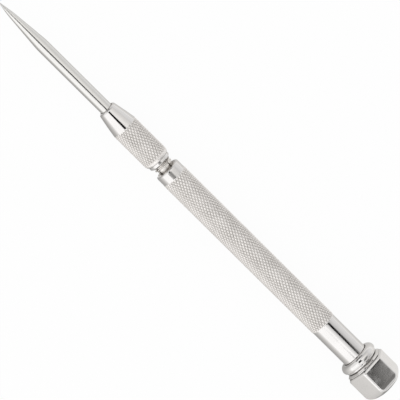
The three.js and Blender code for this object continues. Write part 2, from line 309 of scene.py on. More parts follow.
groundSteelValues = {
    "bright": (0.77, 0.76, 0.74),
    "dull": (0.62, 0.61, 0.60),
    "grinding": (26, 0.3, 2, 0.7),
    "streaks": (0.12, 2.2, 3, 0.6),
    "streakRange": (0.45, 0.7),
    "tipLength": 6.0,  # worn dull by use
    "tipWear": 0.5,
    "grindingWear": 0.18,
    "streakWear": 0.18,
    "roughness": 0.13,
    "grindingRoughness": 0.06,
    "tipRoughness": 0.16,
    "streakRoughness": 0.04,
    "reliefStrength": 0.4,
    "reliefDepth": 0.0000012,
}


def makeGroundSteel(length):
    # ground across the axis, with a few long streaks
    values = groundSteelValues
    shader = startMaterial("groundSteel")
    here = shader.node("ShaderNodeTexCoord", output="Object")
    along = shader.node("ShaderNodeSeparateXYZ", inputs={0: here}, output="X") / mm
    tip = along.between(length - values["tipLength"], length)
    grinding = shader.lines(*values["grinding"])
    streaks = shader.lines(*values["streaks"]).between(*values["streakRange"])
    wear = tip * values["tipWear"] + grinding * values["grindingWear"] + streaks * values["streakWear"]
    roughness = (
        values["roughness"] + grinding * values["grindingRoughness"]
        + tip * values["tipRoughness"] + streaks * values["streakRoughness"]
    )
    colour = shader.blend(wear, values["bright"], values["dull"])
    return shader.finishMetal(colour, roughness, grinding, values)


# mesh building: lengths are in millimetres, along the pen and out from its axis

def arcPoints(along, out, radius, fromDegrees, toDegrees, steps):
    # 0 degrees points to the tip and 90 degrees outwards
    turns = np.radians(np.linspace(fromDegrees, toDegrees, steps + 1))
    return [(along + radius * math.cos(turn), out + radius * math.sin(turn)) for turn in turns]


def easedProfile(corners, steps=5):
    # a corner is (along, out) or (along, out, radius that breaks its edge)
    points = []
    for index, corner in enumerate(corners):
        here = np.array(corner[:2], float)
        if len(corner) < 3:
            points.append(tuple(here))
            continue
        back = np.array(corners[index - 1][:2]) - here
        ahead = np.array(corners[(index + 1) % len(corners)][:2]) - here
        back, ahead = back / np.linalg.norm(back), ahead / np.linalg.norm(ahead)
        half = math.acos(np.clip(back @ ahead, -1, 1)) / 2
        centre = here + (back + ahead) / np.linalg.norm(back + ahead) * corner[2] / math.sin(half)
        first = here + back * corner[2] / math.tan(half) - centre
        last = here + ahead * corner[2] / math.tan(half) - centre
        sweep = math.atan2(first[0] * last[1] - first[1] * last[0], first @ last)
        for step in range(steps + 1):
            turn = sweep * step / steps
            cosine, sine = math.cos(turn), math.sin(turn)
            points.append((
                centre[0] + first[0] * cosine - first[1] * sine,
                centre[1] + first[0] * sine + first[1] * cosine,
            ))
    return points


def supported(points, looped, reach=0.06):
    # rows close to both ends of each long straight keep its shading straight
    longStraight = 5 * reach
    rows = []
    count = len(points)
    for index in range(count if looped else count - 1):
        here, after = np.array(points[index]), np.array(points[(index + 1) % count])
        span = np.linalg.norm(after - here)
        rows.append(tuple(here))
        if span > longStraight:
            rows.append(tuple(here + (after - here) * reach / span))
            rows.append(tuple(after - (after - here) * reach / span))
    if not looped:
        rows.append(tuple(points[-1]))
    return rows


def roundGrid(profile, turns, outs=None):
    # rows along the profile and columns at the turns; outs gives each place its own radius
    profile = np.array(profile, float)
    radius = np.repeat(profile[:, 1:2], len(turns), 1) if outs is None else outs
    along = np.repeat(profile[:, :1], len(turns), 1)
    turns = np.broadcast_to(turns, radius.shape)
    return np.stack((along, radius * np.sin(turns), radius * np.cos(turns)), -1)


def gridFaces(rows, columns, looped, folds=None, start=0):
    # folds: 0 leaves a cell whole, 1 and 2 cut it along one diagonal or the other
    row, column = np.meshgrid(
        np.arange(rows if looped else rows - 1), np.arange(columns), indexing="ij"
    )
    nextRow, nextColumn = (row + 1) % rows, (column + 1) % columns
    a = start + row * columns + column
    b = start + nextRow * columns + column
    c = start + nextRow * columns + nextColumn
    d = start + row * columns + nextColumn
    cut = np.zeros_like(row) if folds is None else folds
    faces = np.stack((a, b, c, d), -1)[cut == 0].tolist()
    for triangle, kind in (((a, b, c), 1), ((a, c, d), 1), ((a, b, d), 2), ((b, c, d), 2)):
        faces += np.stack(triangle, -1)[cut == kind].tolist()
    if not looped:
        faces.append(list(range(start, start + columns)))
        faces.append([start + rows * columns - 1 - i for i in range(columns)])
    return faces


def evenTurns(count):
    return np.arange(count) * fullTurn / count


def makePiece(name, points, faces, attributes=None, sharpDegrees=34):
    mesh = bpy.data.meshes.new(name)
    mesh.from_pydata((points.reshape(-1, 3) * mm).tolist(), [], faces)
    mesh.validate()
    mesh.shade_smooth()
    mesh.set_sharp_from_angle(angle=math.radians(sharpDegrees))
    for key, value in (attributes or {}).items():
        layer = mesh.attributes.new(key, "FLOAT", "POINT")
        layer.data.foreach_set("value", np.ravel(value).astype(np.float32))
    piece = bpy.data.objects.new(name, mesh)
    scene.collection.objects.link(piece)
    return piece


def makeRoundPiece(name, profile, columns, looped, recess=None):
    # recess is one number for each row
    points = roundGrid(profile, evenTurns(columns))
    faces = gridFaces(len(profile), columns, looped)
    attributes = {} if recess is None else {"recess": np.repeat(recess[:, None], columns, 1)}
    return makePiece(name, points, faces, attributes)


def dress(piece, material, body, node):
    # puts the piece in its solid's place
    piece.location = (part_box(node)[0].x, 0, axisHeight)
    piece.data.materials.append(material)
    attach(piece, body)
    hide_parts(node)
    print(piece.name, len(piece.data.polygons), "faces")


# head and collar

head = {
    "length": 11.05,
    "acrossFlats": 12.0,
    "edgeRadius": 0.9,
    "edgeSoftening": 5,  # power by which the edges get rounder towards the crown and the front
    "crownRadius": 20.0,
    "crownHole": 0.6,  # degrees off the axis where the crown's rows start, round one last face
    "endRounding": 2.8,
    "frontRounding": 1.1,
    "grooveDepth": 0.35,
    "grooveWidth": 0.12,
    "grooveCorner": 0.03,
    "lipRadius": 6.25,  # at the corners; the flats trim the lip
    "lipLength": 0.6,
    "lipDrop": 0.8,  # how far its front slopes down
    "lipBevel": 0.15,
    "lipRearEdge": 0.12,
    "lipFrontEdge": 0.08,
    "lipFace": 0.2,  # the flat step in front of the slope
    "softEdge": 0.08,  # width of the broken edge where round forms meet the flats
    "neckRadius": 4.6,
    "neckLength": 0.35,
    "neckEdge": 0.08,
    "spigotRadius": 2.5,
    "spigotLength": 13.5,
    "spigotEdge": 0.3,
    "spigotEnd": 0.3,  # radius of the last face
    "grooveShade": 0.85,  # how much painted shade darkens the groove
    "grooveShadeDepth": 0.2,  # below the flats, where it starts
    "gapShade": 0.5,  # and on the faces towards the collar
    "gapShadeEdge": 0.1,
    "flatColumns": 21,
    "edgeColumns": 15,
    "rows": 14,  # of the crown, the flats and the front, each
    "roundingRows": 44,
    "lipSteps": 9,
}
flatTurn = math.radians(60)  # from one flat of the hexagon to the next
edgeTurn = flatTurn / 2  # and from a flat to an edge


def hexagonTurns():
    # columns close together round each edge, and even across each flat
    half, edge = head["acrossFlats"] / 2, head["edgeRadius"]
    flatHalf = (half - edge) * math.tan(edgeTurn)
    centre = (half - edge) / math.cos(edgeTurn)
    offsets = [math.atan(s / half) for s in np.linspace(-flatHalf, flatHalf, head["flatColumns"])]
    for lean in np.linspace(0, flatTurn, head["edgeColumns"])[1:-1]:
        across = centre / 2 + edge * math.sin(lean)
        up = half - edge + edge * math.cos(lean)
        offsets.append(math.atan2(across, up))
    return np.concatenate([np.array(offsets) + flatTurn * side for side in range(6)])


def hexagonRadius(turns, half):
    # the hexagon's edges get rounder as it gets smaller towards the crown
    full = head["acrossFlats"] / 2
    edge = half - (full - head["edgeRadius"]) * (half / full) ** head["edgeSoftening"]
    lean = np.abs((turns + edgeTurn) % flatTurn - edgeTurn)
    centre = (half - edge) / math.cos(edgeTurn)
    aside = centre * np.sin(edgeTurn - lean)
    corner = centre * np.cos(edgeTurn - lean) + np.sqrt(np.maximum(edge ** 2 - aside ** 2, 0))
    straight = np.arctan((half - edge) * math.tan(edgeTurn) / half)
    return np.where(lean < straight, half / np.cos(lean), corner)


def softLeast(first, second, width):
    # the smaller of two radii, with the edge between them broken
    share = np.maximum(width - np.abs(first - second), 0) / width
    return np.minimum(first, second) - share * share * width / 4


def headEnd():
    # crown and rounding, up to where the flats start
    crown, rounding = head["crownRadius"], head["endRounding"]
    reach = crown - rounding
    roundingOut = head["acrossFlats"] / 2 - rounding
    roundingAt = crown - math.sqrt(reach ** 2 - roundingOut ** 2)
    lean = math.degrees(math.asin(roundingOut / reach))
    rows = arcPoints(crown, 0, crown, 180 - head["crownHole"], 180 - lean, head["rows"])
    rows += arcPoints(roundingAt, roundingOut, rounding, 180 - lean, 90, head["roundingRows"])[1:]
    return rows, roundingAt


def makeHead(plate):
    # each row is (along, half the hexagon's width, radius that it is turned down to)
    half = head["acrossFlats"] / 2
    length = head["length"]
    spigotFront = length + head["spigotLength"]
    lipFront = length - head["neckLength"]
    lipRear = lipFront - head["lipLength"]
    grooveFront = lipRear - head["lipBevel"]
    grooveRear = grooveFront - head["grooveWidth"]
    rounding = head["frontRounding"]
    drop = math.degrees(math.acos(1 - head["grooveDepth"] / rounding))
    frontStart = grooveRear - rounding * math.sin(math.radians(drop))
    end, endFront = headEnd()
    flats = [(along, half) for along in np.linspace(endFront, frontStart, head["rows"])[1:-1]]
    front = arcPoints(frontStart, half - rounding, rounding, 90, 90 - drop, head["rows"])
    lip = easedProfile([
        (grooveRear, -head["grooveDepth"]),
        (grooveFront, -head["grooveDepth"], head["grooveCorner"]),
        (lipRear, 0, head["lipRearEdge"]),
        (lipFront, -head["lipDrop"], head["lipFrontEdge"]),
        (lipFront, -head["lipDrop"] - head["lipFace"]),
    ], head["lipSteps"])
    spigot = supported(easedProfile([
        (lipFront, head["neckRadius"]),
        (length, head["neckRadius"], head["neckEdge"]),
        (length, head["spigotRadius"]),
        (spigotFront, head["spigotRadius"], head["spigotEdge"]),
        (spigotFront, head["spigotEnd"]),
    ]), False)
    rows = [(along, out, 2 * half) for along, out in end + flats + front]
    rows += [(along, half + rise, head["lipRadius"] + rise) for along, rise in lip]
    rows += [(along, half, out) for along, out in spigot]
    along, halves, turned = np.array(rows).T
    turns = hexagonTurns()
    outs = softLeast(hexagonRadius(turns[None, :], halves[:, None]), turned[:, None], head["softEdge"])
    points = roundGrid(np.stack((along, turned), -1), turns, outs)
    # painted shade in the groove and on the faces towards the collar
    inGroove = (along > grooveRear - slack) & (along < grooveFront + slack)
    inGroove &= halves < half - head["grooveShadeDepth"]
    inGap = along > lipFront - slack
    inGap &= turned < head["lipRadius"] - head["lipDrop"] - head["gapShadeEdge"]
    shadeAndTarnish = inGroove * head["grooveShade"] + inGap * head["gapShade"]
    recess = np.repeat(shadeAndTarnish[:, None], len(turns), 1)
    faces = gridFaces(len(rows), len(turns), False)
    piece = makePiece("hexHead", points, faces, {"recess": recess})
    dress(piece, plate, "handle", "hex_head")


collar = {
    "width": 2.65,
    "boreRadius": 2.55,
    "hubRadius": 5.45,  # behind the bead
    "hubLength": 0.3,
    "hubEdge": 0.08,
    "radius": 5.95,
    "crestPlace": 1.25,  # the bead's widest place, from the rear face
    "rearReach": 1.2,  # how far the bead curves back and forward from there
    "frontReach": 1.57,
    "beadHeight": 1.42,
    "beadRows": 57,
    "hubSteps": 3,
    "columns": 144,
    "gapShade": 0.5,  # painted shade on the face towards the head
    "gapShadeEdge": 0.04,
    "bandShadeEdge": 0.25,  # and on the face over the barrel's band
}


def makeCollar(plate):
    width, hub = collar["width"], collar["hubRadius"]
    crest, height = collar["crestPlace"], collar["beadHeight"]
    centre = collar["radius"] - height
    rearTurn = math.pi - math.asin((hub - centre) / height)
    frontTurn = -math.acos((width - crest) / collar["frontReach"])
    bead = []
    for turn in np.linspace(rearTurn, frontTurn, collar["beadRows"]):
        reach = collar["frontReach"] if math.cos(turn) > 0 else collar["rearReach"]
        bead.append((crest + reach * math.cos(turn), centre + height * math.sin(turn)))
    rear = easedProfile([
        (0, collar["boreRadius"]),
        (0, hub, collar["hubEdge"]),
        (collar["hubLength"], hub),
    ], collar["hubSteps"])
    profile = supported(rear + bead + [(width, collar["boreRadius"])], True)
    along, out = np.array(profile).T
    # painted shade on the faces towards the head and over the barrel's band
    inGap = (along < slack) & (out < hub - collar["gapShadeEdge"])
    overBand = (along > width - slack) & (out < centre - collar["bandShadeEdge"])
    recess = inGap * collar["gapShade"] + overBand
    piece = makeRoundPiece("collarRing", profile, collar["columns"], True, recess)
    dress(piece, plate, "handle", "collar_ring")


# knurl of barrel and nut

knurl = {
    "starts": 28,
    "lead": 1.6,  # length of one diamond along the pen
    "flatShare": 0.11,  # half the width of a diamond's flat top, in pitches
    "depth": 0.17,
    "endFade": 0.35,
    "unevenness": 0.003,
    "leastStep": 0.02,  # in pitches, between the last grid line and the knurl's end
    "shadeFade": 0.1,  # depth over which painted shade sets in below the sheltered radius
    "sharpDegrees": 24,
}


def knurlSteps(last):
    # grid lines that follow the creases of the diamonds
    flat = knurl["flatShare"]
    steps = np.array((0, flat, 0.5 - flat, 0.5, 0.5 + flat, 1 - flat))
    lines = (np.arange(math.ceil(last) + 1)[:, None] + steps).ravel()
    return lines[lines < last - knurl["leastStep"]]


def knurlSurface(length, crest, rearEdge, frontEdge, seed):
    # edges are the plain radii beside it; gives places of rows, radii, groove depths, folds and
    # how fully each place is knurled
    along = np.append(knurlSteps(length / knurl["lead"]), length / knurl["lead"])
    turns = knurlSteps(knurl["starts"])
    first, second = along[:, None] + turns, turns - along[:, None]
    rise = np.minimum(1 - np.abs(2 * (first % 1) - 1), 1 - np.abs(2 * (second % 1) - 1))
    rise = np.minimum(rise / (1 - 2 * knurl["flatShare"]), 1)
    places = along * knurl["lead"]
    uneven = np.random.default_rng(seed).uniform(-1, 1, rise.shape) * knurl["unevenness"]
    radii = crest - knurl["depth"] * (1 - rise) + uneven * rise - knurl["unevenness"]
    fade = np.clip(np.minimum(places, length - places) / knurl["endFade"], 0, 1)[:, None]
    edge = np.where(places < length / 2, rearEdge, frontEdge)[:, None]
    radii = edge + (radii - edge) * fade
    nudge = 1e-6
    halves = np.floor(2 * along[:-1, None] + nudge) + np.floor(2 * turns + nudge)
    folds = 1 + halves.astype(int) % 2
    return places, radii, (1 - rise) * fade, folds, np.broadcast_to(fade, rise.shape)


def knurledPiece(name, rear, front, surface, looped, shelteredRadius):
    # plain rows behind, knurled rows, plain rows in front; painted shade gathers within the sheltered radius
    places, radii, depth, folds, share = surface
    turns = knurlSteps(knurl["starts"]) * fullTurn / knurl["starts"]
    rear, front = np.array(rear, float), np.array(front, float)
    profile = np.concatenate((rear, np.stack((places, radii[:, 0]), -1), front))
    outs = np.repeat(profile[:, 1:2], len(turns), 1)
    outs[len(rear):-len(front)] = radii
    plain = ((len(rear), len(front)), (0, 0))
    grooves, knurled = np.pad(depth, plain), np.pad(share, plain)
    cuts = np.zeros((len(profile) if looped else len(profile) - 1, len(turns)), int)
    cuts[len(rear):len(rear) + len(folds)] = folds
    points = roundGrid(profile, turns, outs)
    faces = gridFaces(len(profile), len(turns), looped, cuts)
    # painted shade on faces and bores within the sheltered radius
    recess = np.clip((shelteredRadius - outs) / knurl["shadeFade"], 0, 1)
    attributes = {"grooveDepth": grooves, "knurled": knurled, "recess": recess}
    return makePiece(name, points, faces, attributes, knurl["sharpDegrees"])


barrel = {
    "length": 78.5,
    "rearBandRadius": 3.975,
    "rearBandLength": 13.25,
    "rearEdge": 0.15,
    "crestRadius": 4.12,
    "frontBandRadius": 4.0,
    "frontBandLength": 3.0,
    "frontRounding": 0.6,
    "spigotBore": 2.55,
    "spigotBoreDepth": 11.15,
    "shankBore": 3.05,
    "shankBoreDepth": 10.05,
    "shankBoreEdge": 0.1,
    "innerBore": 2.25,
    "innerBoreDepth": 46,
    "drillConeLength": 1.2,
    "boreEnd": 0.3,  # radius of the last face of a bore
    "edgeSteps": 7,
    "shelteredRadius": 3.25,
    "seed": 11,
}


def makeBarrel(plate):
    length = barrel["length"]
    knurlStart, knurlEnd = barrel["rearBandLength"], length - barrel["frontBandLength"]
    shankSeat, innerEnd = length - barrel["shankBoreDepth"], length - barrel["innerBoreDepth"]
    places, *others = knurlSurface(
        knurlEnd - knurlStart, barrel["crestRadius"],
        barrel["rearBandRadius"], barrel["frontBandRadius"], barrel["seed"],
    )
    rear = supported(easedProfile([
        (barrel["spigotBoreDepth"], barrel["boreEnd"]),
        (barrel["spigotBoreDepth"], barrel["spigotBore"]),
        (0, barrel["spigotBore"]),
        (0, barrel["rearBandRadius"], barrel["rearEdge"]),
        (knurlStart, barrel["rearBandRadius"]),
    ]), False)[:-1]
    front = supported(easedProfile([
        (knurlEnd, barrel["frontBandRadius"]),
        (length, barrel["frontBandRadius"], barrel["frontRounding"]),
        (length, barrel["shankBore"], barrel["shankBoreEdge"]),
        (shankSeat, barrel["shankBore"]),
        (shankSeat, barrel["innerBore"]),
        (innerEnd, barrel["innerBore"]),
        (innerEnd - barrel["drillConeLength"], barrel["boreEnd"]),
    ], barrel["edgeSteps"]), False)[1:]
    surface, sheltered = (places + knurlStart, *others), barrel["shelteredRadius"]
    piece = knurledPiece("knurledBarrel", rear, front, surface, False, sheltered)
    dress(piece, plate, "handle", "barrel")


# collet, ring and nut of the chuck

collet = {
    "shankRadius": 3.0,
    "shankLength": 9.95,
    "shankRearEdge": 0.15,
    "shankFrontEdge": 0.08,
    "jaws": 4,
    "slitStart": 9.0,
    "slitWidth": 0.5,
    "slitDegrees": -23.0,  # from the top towards +Y
    "boreRadius": 2.05,
    "rootRadius": 2.475,
    "crestRadius": 2.925,
    "pitch": 1.0,
    "threadStart": 10.8,
    "threadTurns": 10.5,
    "crestWidth": 0.2,
    "flankWidth": 0.26,
    "flankRounding": 0.35,  # 0 for straight flanks, 1 for fully rounded ones
    "runOutTurns": 0.25,  # at both ends of the thread
    "rowsPerTurn": 12,
    "threadGap": 0.05,  # between the shank's face and the first of the thread's rows
    "threadTail": 0.5,  # how far these rows go on past the thread
    "reliefRadius": 2.35,
    "reliefSlope": 0.15,
    "landRadius": 2.545,
    "landLength": 1.5,
    "landSlope": 0.2,
    "coneLength": 3.03,
    "frontRadius": 2.28,
    "frontEdge": 0.06,
    "frontEdgeRise": 0.01,
    "frontEdgeDrop": 0.05,
    "shankColumns": 72,
    "jawColumns": 34,
    "cornerHeight": 0.12,  # painted shade fills the corner in front of the barrel to this height
    "cornerShade": (0.3, 0.9),  # distances from the barrel where it starts to fade and is gone
    "sharpDegrees": 40,
}


def threadRadius(along, turns):
    # a right-handed thread
    wound = (-turns) % fullTurn / fullTurn
    count = np.round((along - collet["threadStart"]) / collet["pitch"] - wound)
    turn = wound + count
    offset = np.abs(along - collet["threadStart"] - turn * collet["pitch"])
    reach = collet["crestWidth"] / 2 + collet["flankWidth"]
    height = np.clip((reach - offset) / collet["flankWidth"], 0, 1)
    eased = height * height * (3 - 2 * height)
    height = eased * collet["flankRounding"] + height * (1 - collet["flankRounding"])
    runOut = np.clip(np.minimum(turn, collet["threadTurns"] - turn) / collet["runOutTurns"], 0, 1)
    return collet["rootRadius"] + (collet["crestRadius"] - collet["rootRadius"]) * height * runOut


def jawRows(length):
    # each row is (along, radius), where None stands for the thread's radius
    shankEnd, shankRadius, edge = collet["shankLength"], collet["shankRadius"], collet["shankFrontEdge"]
    threadEnd = collet["threadStart"] + collet["threadTurns"] * collet["pitch"]
    tailEnd = threadEnd + collet["threadTail"]
    rootEnd = tailEnd + collet["threadGap"]
    coneStart = length - collet["coneLength"]
    landStart = coneStart - collet["landLength"]
    threadRows = np.arange(shankEnd + collet["threadGap"], tailEnd, collet["pitch"] / collet["rowsPerTurn"])
    return [
        (collet["slitStart"], shankRadius),
        (shankEnd - edge, shankRadius),
        (shankEnd, shankRadius - edge),
        (shankEnd, collet["rootRadius"]),
        *((along, None) for along in threadRows),
        (rootEnd, collet["rootRadius"]),
        (rootEnd + collet["reliefSlope"], collet["reliefRadius"]),
        (landStart - collet["landSlope"], collet["reliefRadius"]),
        (landStart, collet["landRadius"]),
        (coneStart, collet["landRadius"]),
        (length - collet["frontEdge"], collet["frontRadius"] + collet["frontEdgeRise"]),
        (length, collet["frontRadius"] - collet["frontEdgeDrop"]),
    ]


def jawPoints(rows, jawStart):
    # each section runs over the outside from slit to slit and back along the bore
    jawTurn = fullTurn / collet["jaws"]
    halfSlit = collet["slitWidth"] / 2
    across = np.linspace(0, 1, collet["jawColumns"])
    bore = np.full_like(across, collet["boreRadius"])
    boreInset = math.asin(halfSlit / collet["boreRadius"])
    boreTurns = jawStart + boreInset + (jawTurn - 2 * boreInset) * across[::-1]
    sections = []
    for along, out in rows:
        radii = np.full_like(across, collet["rootRadius"] if out is None else out)
        for attempt in range(2):
            # the slit's walls stay parallel, so the jaw's outer turns depend on its radii
            inset = np.arcsin(halfSlit / radii)
            turns = jawStart + inset + (jawTurn - 2 * inset) * across
            radii = threadRadius(along, turns) if out is None else radii
        turns, radii = np.append(turns, boreTurns), np.append(radii, bore)
        section = (np.full_like(turns, along), radii * np.sin(turns), radii * np.cos(turns))
        sections.append(np.stack(section, -1))
    return np.array(sections).reshape(-1, 3)


def makeCollet(steel):
    low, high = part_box("split_collet")
    shank = supported(easedProfile([
        (0, collet["boreRadius"]),
        (0, collet["shankRadius"], collet["shankRearEdge"]),
        (collet["slitStart"], collet["shankRadius"]),
        (collet["slitStart"], collet["boreRadius"]),
    ]), True)
    points = roundGrid(shank, evenTurns(collet["shankColumns"])).reshape(-1, 3)
    faces = gridFaces(len(shank), collet["shankColumns"], True)
    rows = jawRows((high.x - low.x) / mm)
    for jaw in range(collet["jaws"]):
        jawStart = math.radians(collet["slitDegrees"] + 360 / collet["jaws"] * jaw)
        faces += gridFaces(len(rows), 2 * collet["jawColumns"], False, start=len(points))
        points = np.concatenate((points, jawPoints(rows, jawStart)))
    # painted shade in the corner in front of the barrel
    fromBarrel = points[:, 0] - collet["shankLength"]
    inCorner = np.hypot(points[:, 1], points[:, 2]) < collet["rootRadius"] + collet["cornerHeight"]
    filled, bare = collet["cornerShade"]
    recess = np.clip((bare - fromBarrel) / (bare - filled), 0, 1) * inCorner
    attributes = {"recess": recess}
    piece = makePiece("splitCollet", points, faces, attributes, collet["sharpDegrees"])
    dress(piece, steel, "handle", "split_collet")


ring = {
    "boreRadius": 3.045,
    "boreEdge": 0.05,
    "radius": 3.57,
    "width": 1.25,
    "chamfer": 0.42,
    "rearEdge": 0.1,
    "chamferEdge": 0.22,
    "frontEdge": 0.09,
    "sleeveRadius": 3.4,
    "sleeveLength": 1.6,
    "sleeveEdge": 0.08,
    "supportReach": 0.03,
    "columns": 120,
}


def makeRing(plate):
    sleeveFront = ring["width"] + ring["sleeveLength"]
    profile = supported(easedProfile([
        (0, ring["boreRadius"], ring["boreEdge"]),
        (0, ring["radius"] - ring["chamfer"], ring["rearEdge"]),
        (ring["chamfer"], ring["radius"], ring["chamferEdge"]),
        (ring["width"], ring["radius"], ring["frontEdge"]),
        (ring["width"], ring["sleeveRadius"]),
        (sleeveFront, ring["sleeveRadius"], ring["sleeveEdge"]),
        (sleeveFront, ring["boreRadius"]),
    ]), True, ring["supportReach"])
    piece = makeRoundPiece("chuckRing", profile, ring["columns"], True)
    dress(piece, plate, "chuck_slider", "chuck_ring")


nut = {
    "length": 21.3,
    "rearRadius": 3.57,
    "rearChamfer": 0.02,
    "rearRounding": 1.35,
    "rearPlainShare": 0.35,  # of the rounding, where no diamonds reach
    "crestRadius": 4.13,
    "noseRadius": 4.08,
    "noseLength": 7.4,
    "noseFrontRadius": 2.925,
    "noseEdge": 0.85,
    "noseEdgeStart": 80,  # degrees, 90 is straight out
    "noseStartSlope": 0.86,  # 1 for a straight cone, less for one that bulges
    "noseRows": 22,
    "noseEdgeRows": 12,
    "noseHole": 2.12,
    "noseHoleEdge": 0.05,
    "noseHoleLength": 1.5,
    "closingDegrees": 5,  # slope of the cone that closes the jaws
    "bodyBore": 2.75,
    "threadBore": 3.045,
    "threadDepth": 8.6,
    "sleeveBore": 3.45,
    "sleeveDepth": 1.65,
    "boreFront": 0.02,
    "supportReach": 0.04,
    "shelteredRadius": 2.35,
    "seed": 23,
}


def nutKnurl(length):
    # the rear end rounds off, and the diamonds run out over it
    rear, crest, rounding = nut["rearRadius"], nut["crestRadius"], nut["rearRounding"]
    places, radii, depth, *others = knurlSurface(length, crest, rear, nut["noseRadius"], nut["seed"])
    lean = np.clip(1 - places / rounding, 0, 1)[:, None]
    rounded = rear + (crest - rear) * np.sqrt(1 - lean ** 2)
    plain = nut["rearPlainShare"]
    fade = np.clip((places / rounding - plain) / (1 - plain), 0, 1)[:, None]
    atRear = places[:, None] < rounding
    radii = np.where(atRear, rounded - depth * knurl["depth"] * fade, radii)
    return places, radii, np.where(atRear, depth * fade, depth), *others


def nosePoints(noseStart, length):
    # a cone that bulges a little, and the rounded edge round its hole
    edge, slope = nut["noseEdge"], nut["noseStartSlope"]
    noseEnd = length - edge
    points = []
    for part in np.linspace(0, 1, nut["noseRows"])[1:-1]:
        drop = slope * part + (1 - slope) * part * part
        points.append((
            noseStart + (noseEnd - noseStart) * part,
            nut["noseRadius"] - (nut["noseRadius"] - nut["noseFrontRadius"]) * drop,
        ))
    edgeOut = nut["noseFrontRadius"] - edge
    holeLean = math.asin((nut["noseHole"] + nut["noseHoleEdge"] - edgeOut) / edge)
    return points + arcPoints(
        noseEnd, edgeOut, edge, nut["noseEdgeStart"], math.degrees(holeLean), nut["noseEdgeRows"]
    )


def makeNut(plate):
    length = nut["length"]
    noseStart = length - nut["noseLength"]
    coneFront = length - nut["noseHoleLength"]
    coneLength = nut["bodyBore"] - nut["noseHole"]
    coneLength /= math.tan(math.radians(nut["closingDegrees"]))
    bore = supported(easedProfile([
        (length - nut["boreFront"], nut["noseHole"]),
        (coneFront, nut["noseHole"]),
        (coneFront - coneLength, nut["bodyBore"]),
        (nut["threadDepth"], nut["bodyBore"]),
        (nut["threadDepth"], nut["threadBore"]),
        (nut["sleeveDepth"], nut["threadBore"]),
        (nut["sleeveDepth"], nut["sleeveBore"]),
        (0.0, nut["sleeveBore"]),
    ]), False, nut["supportReach"])[1:]
    rear = [(0.0, nut["rearRadius"] - nut["rearChamfer"])]
    front = nosePoints(noseStart, length) + bore
    surface, sheltered = nutKnurl(noseStart), nut["shelteredRadius"]
    piece = knurledPiece("chuckNut", rear, front, surface, True, sheltered)
    dress(piece, plate, "chuck", "chuck_nut")


# point

point = {
    "radius": 2.0,
    "length": 70.0,
    "rearEnd": 0.4,  # radius of the last face
    "rearChamfer": 0.3,
    "supportReach": 0.1,
    "rodMargin": 1,  # the straight rod's further rows keep off its ends
    "taperLength": 19.2,
    "blendLength": 2.4,
    "blendDrop": 0.1,
    "coneLength": 5.0,
    "coneRadius": 0.875,
    "bendReach": 2.5,  # how near to the cone's start the taper bends
    "bendSteps": (0.6, 1.2),  # how far each smoothing looks
    "tipRadius": 0.05,
    "tipRounding": 0.04,
    "tipFlat": 0.02,
    "rodRows": 12,
    "blendRows": 10,
    "taperRows": 26,
    "columns": 96,
}


def taperRadius(along, blendEnd):
    # the long taper bends by a hair into the tip's cone
    coneStart = point["length"] - point["coneLength"]
    places = (blendEnd, coneStart, point["length"])
    radii = (point["radius"] - point["blendDrop"], point["coneRadius"], point["tipRadius"])
    out = np.interp(along, places, radii)
    if abs(along - coneStart) < point["bendReach"]:
        for reach in point["bendSteps"]:
            behind, ahead = np.interp((along - reach, along + reach), places, radii)
            out = (out * 2 + behind + ahead) / 4
    return out


def makePoint():
    length, radius, chamfer = point["length"], point["radius"], point["rearChamfer"]
    taperStart = length - point["taperLength"]
    blendEnd = taperStart + point["blendLength"]
    taperEnd = length - point["tipRounding"]
    support, margin = chamfer + point["supportReach"], point["rodMargin"]
    profile = [(0, point["rearEnd"]), (0, radius - chamfer), (chamfer, radius), (support, radius)]
    profile += [(along, radius) for along in np.linspace(margin, taperStart - margin, point["rodRows"])]
    profile += [
        (taperStart + point["blendLength"] * part, radius - point["blendDrop"] * part * part)
        for part in np.linspace(0, 1, point["blendRows"])
    ]
    for part in np.linspace(0, 1, point["taperRows"])[1:]:
        along = blendEnd + (taperEnd - blendEnd) * part
        profile.append((along, taperRadius(along, blendEnd)))
    profile.append((length, point["tipFlat"]))
    piece = makeRoundPiece("scriberPoint", profile, point["columns"], False)
    dress(piece, makeGroundSteel(length), "point", "scriber_point")


polishedPlate = makePolishedPlate()
knurledPlate = makeKnurledPlate()
turnedSteel = makeTurnedSteel()
makeHead(polishedPlate)
makeCollar(polishedPlate)
makeBarrel(knurledPlate)
makeCollet(turnedSteel)
makeRing(polishedPlate)
makeNut(knurledPlate)
makePoint()
print("pen dressed")


# studio

paper = {
    "tone": (0.95, 0.95, 0.95),
    "fibreTone": (0.93, 0.93, 0.925),
    "fibres": (0.6, 3, 0.6),  # scale for a millimetre, detail, roughness
    "fibreShare": 0.25,
    "white": 0.94,  # share of the background that stays plain white
    "reach": 3.0,
    "drop": 0.00002,  # below what the pen rests on
}


def makePaper():
    shader = startMaterial("paper")
    rays = [shader.node("ShaderNodeLightPath", output=name) for name in (
        "Is Camera Ray", "Is Glossy Ray", "Is Transmission Ray",
    )]
    seen = rays[0] + rays[1] + rays[2]
    fibres = shader.noise(shader.place(), *paper["fibres"])
    tone = shader.blend(fibres * paper["fibreShare"], paper["tone"], paper["fibreTone"])
    sheet = shader.node("ShaderNodeBsdfDiffuse", inputs={"Color": tone})
    white = shader.node("ShaderNodeEmission", inputs={"Color": (1, 1, 1, 1), "Strength": 1.0})
    surface = shader.node("ShaderNodeMixShader", inputs={0: seen * paper["white"], 1: sheet, 2: white})
    shader.finish(surface)
    side = paper["reach"]
    corners = [(-side, -side, 0), (side, -side, 0), (side, side, 0), (-side, side, 0)]
    mesh = bpy.data.meshes.new("paper")
    mesh.from_pydata(corners, [], [(0, 1, 2, 3)])
    mesh.materials.append(shader.owner)
    floor = bpy.data.objects.new("paper", mesh)
    scene.collection.objects.link(floor)
    floor.location.z = -paper["drop"]


